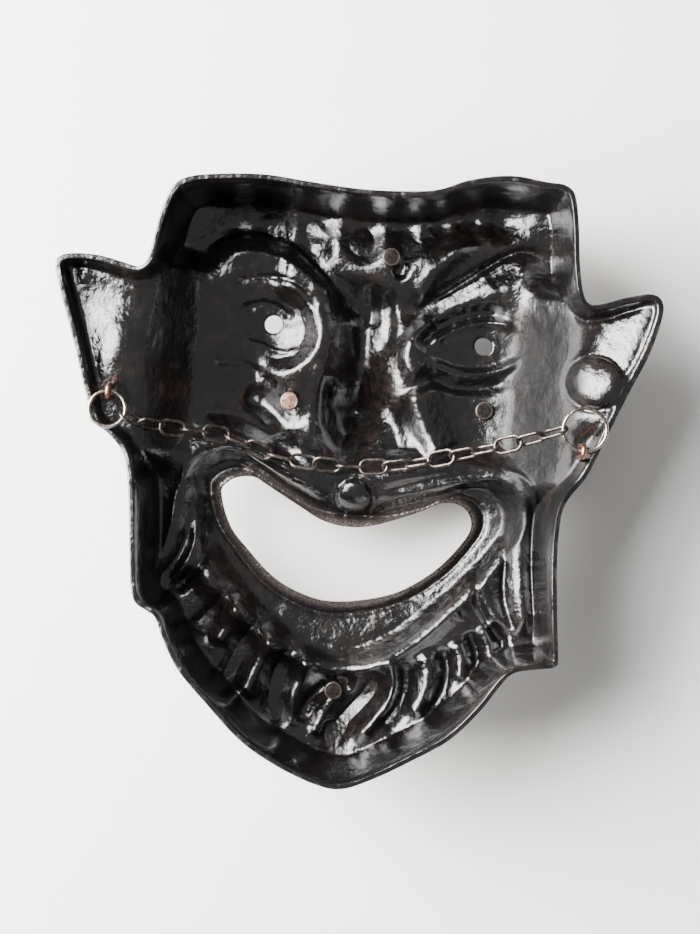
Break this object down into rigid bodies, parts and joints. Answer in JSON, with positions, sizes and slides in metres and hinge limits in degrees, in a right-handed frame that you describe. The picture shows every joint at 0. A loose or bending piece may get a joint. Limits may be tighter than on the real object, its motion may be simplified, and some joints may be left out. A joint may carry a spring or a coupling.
{
  "type": "theatre wall mask",
  "caption": "Cast-metal grinning theatre mask with pointed ears, open at the back, with eye and mouth openings and a hanging chain between two rings.",
  "frame": {"origin": "middle of the bounding box in plan, at the level of the foremost point of the face (tip of the nose), which is the surface the mask lies on", "axes": "+Z out of the open back towards the wall it hangs on, +Y towards the forehead, +X to the right seen from the open back"},
  "size_m": [0.2, 0.204, 0.06],
  "materials": {
    "black_lacquer": "glossy black lacquer over a hammered cast surface, worn grey on edges and brown in places",
    "dark_post": "dark brown, bare metal showing on the rim of the end face",
    "copper": "dull copper with darkened edges",
    "ring_wire": "warm plated steel wire, slightly tarnished",
    "chain_wire": "bronzed dark steel wire, worn bright on the outside of the bends"
  },
  "bodies": {
    "mask": {"mask_shell": "black_lacquer", "forehead_post": "dark_post", "left_cheek_post": "copper", "right_cheek_post": "dark_post", "chin_post": "dark_post", "left_lug": "copper", "right_lug": "copper"},
    "left_ring": {"left_ring": "ring_wire"},
    "right_ring": {"right_ring": "ring_wire"},
    "link_01": {"link_01": "chain_wire"},
    "link_02": {"link_02": "chain_wire"},
    "link_03": {"link_03": "chain_wire"},
    "link_04": {"link_04": "chain_wire"},
    "link_05": {"link_05": "chain_wire"},
    "link_06": {"link_06": "chain_wire"},
    "link_07": {"link_07": "chain_wire"},
    "link_08": {"link_08": "chain_wire"},
    "link_09": {"link_09": "chain_wire"},
    "link_10": {"link_10": "chain_wire"},
    "link_11": {"link_11": "chain_wire"},
    "link_12": {"link_12": "chain_wire"},
    "link_13": {"link_13": "chain_wire"},
    "link_14": {"link_14": "chain_wire"},
    "link_15": {"link_15": "chain_wire"},
    "link_16": {"link_16": "chain_wire"},
    "link_17": {"link_17": "chain_wire"},
    "link_18": {"link_18": "chain_wire"},
    "link_19": {"link_19": "chain_wire"},
    "link_20": {"link_20": "chain_wire"}
  },
  "joints": [
    {"name": "chain_sway", "type": "hinge", "parent": "mask", "child": "link_10", "pos_m": [-0.07319, 0.01317, 0.05721], "axis": [-0.9985, -0.0551, 0.0013], "range_deg": [0, 105]},
    {"name": "link_01_roll", "type": "hinge", "parent": "link_10", "child": "link_01", "pos_m": [-0.07366, 0.01328, 0.05764], "axis": [0.7084, -0.1861, -0.6808], "range_deg": [0, 52.5]},
    {"name": "link_02_roll", "type": "hinge", "parent": "link_10", "child": "link_02", "pos_m": [-0.06799, 0.0118, 0.0522], "axis": [0.7928, -0.1135, -0.5988], "range_deg": [-1.75, 1.75]},
    {"name": "link_03_roll", "type": "hinge", "parent": "link_10", "child": "link_03", "pos_m": [-0.06167, 0.01089, 0.04742], "axis": [0.8504, -0.041, -0.5245], "range_deg": [-3.5, 3.5]},
    {"name": "link_04_roll", "type": "hinge", "parent": "link_10", "child": "link_04", "pos_m": [-0.05487, 0.01056, 0.04323], "axis": [0.8792, 0.0038, -0.4764], "range_deg": [-5.25, 5.25]},
    {"name": "left_chain_twist", "type": "hinge", "parent": "link_10", "child": "link_05", "pos_m": [-0.04785, 0.01059, 0.03943], "axis": [0.9108, -0.0848, -0.4041], "range_deg": [-7, 7]},
    {"name": "link_06_roll", "type": "hinge", "parent": "link_10", "child": "link_06", "pos_m": [-0.04058, 0.00992, 0.0362], "axis": [0.9282, -0.3072, -0.2101], "range_deg": [-7, 7]},
    {"name": "link_07_roll", "type": "hinge", "parent": "link_10", "child": "link_07", "pos_m": [-0.03319, 0.00747, 0.03453], "axis": [0.9368, -0.3433, -0.0671], "range_deg": [-5.25, 5.25]},
    {"name": "link_08_roll", "type": "hinge", "parent": "link_10", "child": "link_08", "pos_m": [-0.02571, 0.00473, 0.03399], "axis": [0.9896, -0.1436, 0.001], "range_deg": [-3.5, 3.5]},
    {"name": "link_09_roll", "type": "hinge", "parent": "link_10", "child": "link_09", "pos_m": [-0.01781, 0.00358, 0.034], "axis": [0.9982, -0.0597, 0], "range_deg": [-1.75, 1.75]},
    {"name": "link_11_roll", "type": "hinge", "parent": "link_10", "child": "link_11", "pos_m": [-0.00185, 0.00296, 0.03395], "axis": [0.9995, 0.0319, 0.0078], "range_deg": [-1.4, 1.4]},
    {"name": "link_12_roll", "type": "hinge", "parent": "link_10", "child": "link_12", "pos_m": [0.00613, 0.00321, 0.03401], "axis": [0.9899, 0.1135, 0.0851], "range_deg": [-2.8, 2.8]},
    {"name": "link_13_roll", "type": "hinge", "parent": "link_10", "child": "link_13", "pos_m": [0.01404, 0.00412, 0.03469], "axis": [0.958, 0.1857, 0.2183], "range_deg": [-4.2, 4.2]},
    {"name": "link_14_roll", "type": "hinge", "parent": "link_10", "child": "link_14", "pos_m": [0.02169, 0.0056, 0.03643], "axis": [0.9114, 0.2398, 0.3345], "range_deg": [-5.6, 5.6]},
    {"name": "right_chain_twist", "type": "hinge", "parent": "link_10", "child": "link_15", "pos_m": [0.02897, 0.00752, 0.0391], "axis": [0.8939, 0.2604, 0.3648], "range_deg": [-7, 7]},
    {"name": "link_16_roll", "type": "hinge", "parent": "link_10", "child": "link_16", "pos_m": [0.03611, 0.0096, 0.04202], "axis": [0.882, 0.2689, 0.387], "range_deg": [-5.6, 5.6]},
    {"name": "link_17_roll", "type": "hinge", "parent": "link_10", "child": "link_17", "pos_m": [0.04316, 0.01175, 0.04511], "axis": [0.8811, 0.2591, 0.3957], "range_deg": [-4.2, 4.2]},
    {"name": "link_18_roll", "type": "hinge", "parent": "link_10", "child": "link_18", "pos_m": [0.0502, 0.01382, 0.04827], "axis": [0.8716, 0.2837, 0.3998], "range_deg": [-2.8, 2.8]},
    {"name": "link_19_roll", "type": "hinge", "parent": "link_10", "child": "link_19", "pos_m": [0.05717, 0.01608, 0.05147], "axis": [0.8621, 0.3175, 0.3949], "range_deg": [-1.4, 1.4]},
    {"name": "link_20_roll", "type": "hinge", "parent": "link_10", "child": "link_20", "pos_m": [0.06405, 0.01862, 0.05462], "axis": [0.8826, 0.3374, 0.3274], "range_deg": [0, 52.5]},
    {"name": "left_ring_flip", "type": "hinge", "parent": "mask", "child": "left_ring", "pos_m": [-0.07881, 0.02088, 0.05693], "axis": [-0.5887, 0.8078, -0.0293], "range_deg": [0, 16]},
    {"name": "right_ring_flip", "type": "hinge", "parent": "mask", "child": "right_ring", "pos_m": [0.07762, 0.01462, 0.05693], "axis": [0.7376, -0.6752, -0.0098], "range_deg": [0, 40]}
  ],
  "couplings": [
    {"joint": "link_01_roll", "follows": "chain_sway", "ratio": 0.5},
    {"joint": "link_02_roll", "follows": "left_chain_twist", "ratio": 0.25},
    {"joint": "link_03_roll", "follows": "left_chain_twist", "ratio": 0.5},
    {"joint": "link_04_roll", "follows": "left_chain_twist", "ratio": 0.75},
    {"joint": "link_06_roll", "follows": "left_chain_twist", "ratio": 1},
    {"joint": "link_07_roll", "follows": "left_chain_twist", "ratio": 0.75},
    {"joint": "link_08_roll", "follows": "left_chain_twist", "ratio": 0.5},
    {"joint": "link_09_roll", "follows": "left_chain_twist", "ratio": 0.25},
    {"joint": "link_11_roll", "follows": "right_chain_twist", "ratio": 0.2},
    {"joint": "link_12_roll", "follows": "right_chain_twist", "ratio": 0.4},
    {"joint": "link_13_roll", "follows": "right_chain_twist", "ratio": 0.6},
    {"joint": "link_14_roll", "follows": "right_chain_twist", "ratio": 0.8},
    {"joint": "link_16_roll", "follows": "right_chain_twist", "ratio": 0.8},
    {"joint": "link_17_roll", "follows": "right_chain_twist", "ratio": 0.6},
    {"joint": "link_18_roll", "follows": "right_chain_twist", "ratio": 0.4},
    {"joint": "link_19_roll", "follows": "right_chain_twist", "ratio": 0.2},
    {"joint": "link_20_roll", "follows": "chain_sway", "ratio": 0.5}
  ]
}
